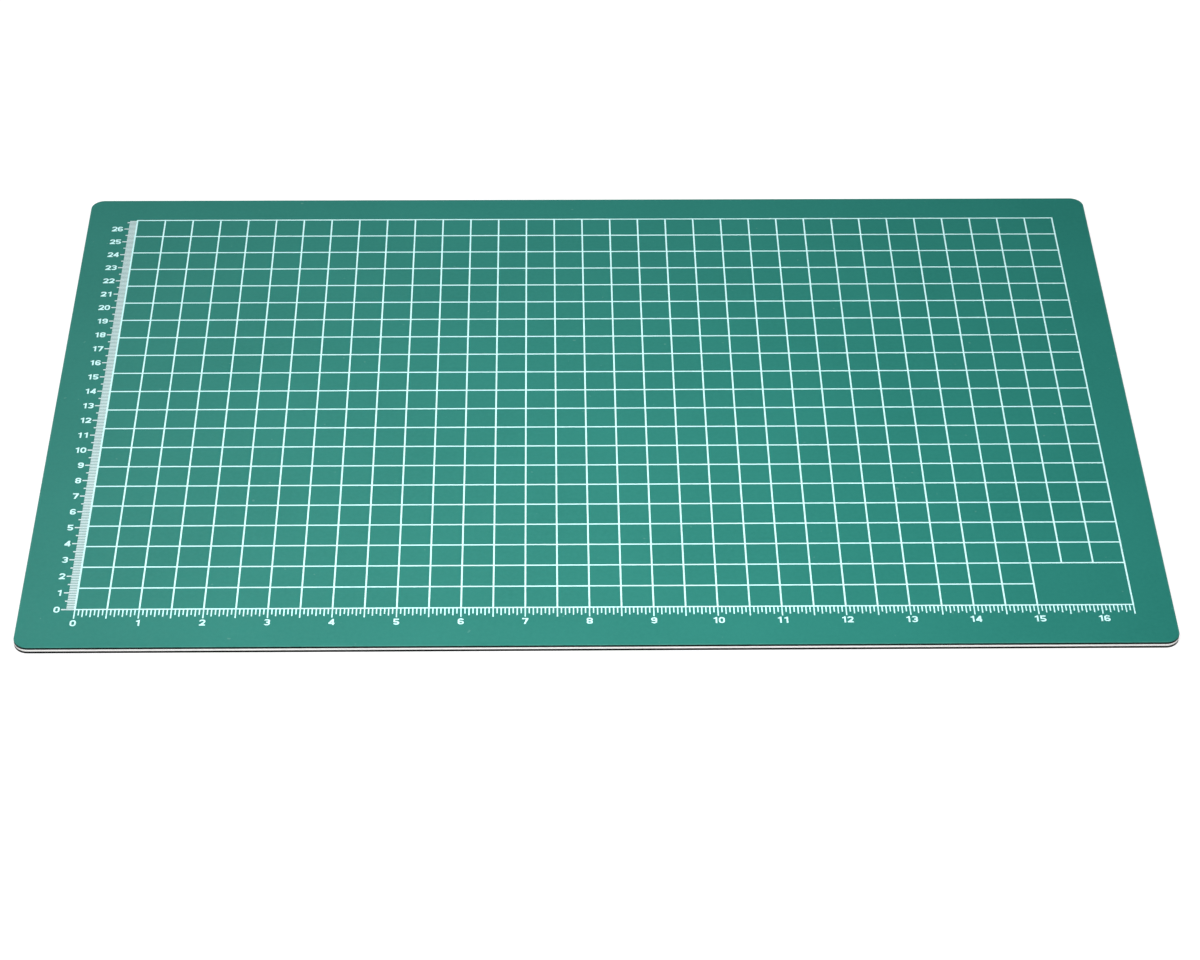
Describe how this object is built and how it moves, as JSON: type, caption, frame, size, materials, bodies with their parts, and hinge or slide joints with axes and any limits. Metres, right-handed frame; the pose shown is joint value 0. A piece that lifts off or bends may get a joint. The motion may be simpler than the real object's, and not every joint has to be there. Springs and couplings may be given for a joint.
{
  "type": "self-healing cutting mat",
  "caption": "Flat layered vinyl cutting mat with a printed half-inch grid, an inch scale and a centimetre scale, laid on a bench to protect it from a blade.",
  "frame": {"origin": "middle of the underside, where the mat rests on the bench", "axes": "+X along the inch scale in the direction its numbers rise, +Y along the centimetre scale in the direction its numbers rise, +Z out of the cutting face"},
  "size_m": [0.4572, 0.3048, 0.003],
  "materials": {
    "lower_vinyl": "matte, fine grain",
    "bond_film": "clear adhesive film",
    "core": "matte, cut edge",
    "upper_vinyl": "matte, cut edge",
    "face_vinyl": "matte, fine grain",
    "ink": "screen-printed ink"
  },
  "bodies": {
    "root": {"lower_ply": "lower_vinyl", "lower_bond_film": "bond_film", "core_sheet": "core", "upper_bond_film": "bond_film", "upper_ply": "upper_vinyl", "face_sheet": "face_vinyl", "grid_print": "ink", "inch_tick_print": "ink", "inch_number_print": "ink", "centimetre_tick_print": "ink", "centimetre_number_print": "ink"}
  },
  "joints": []
}
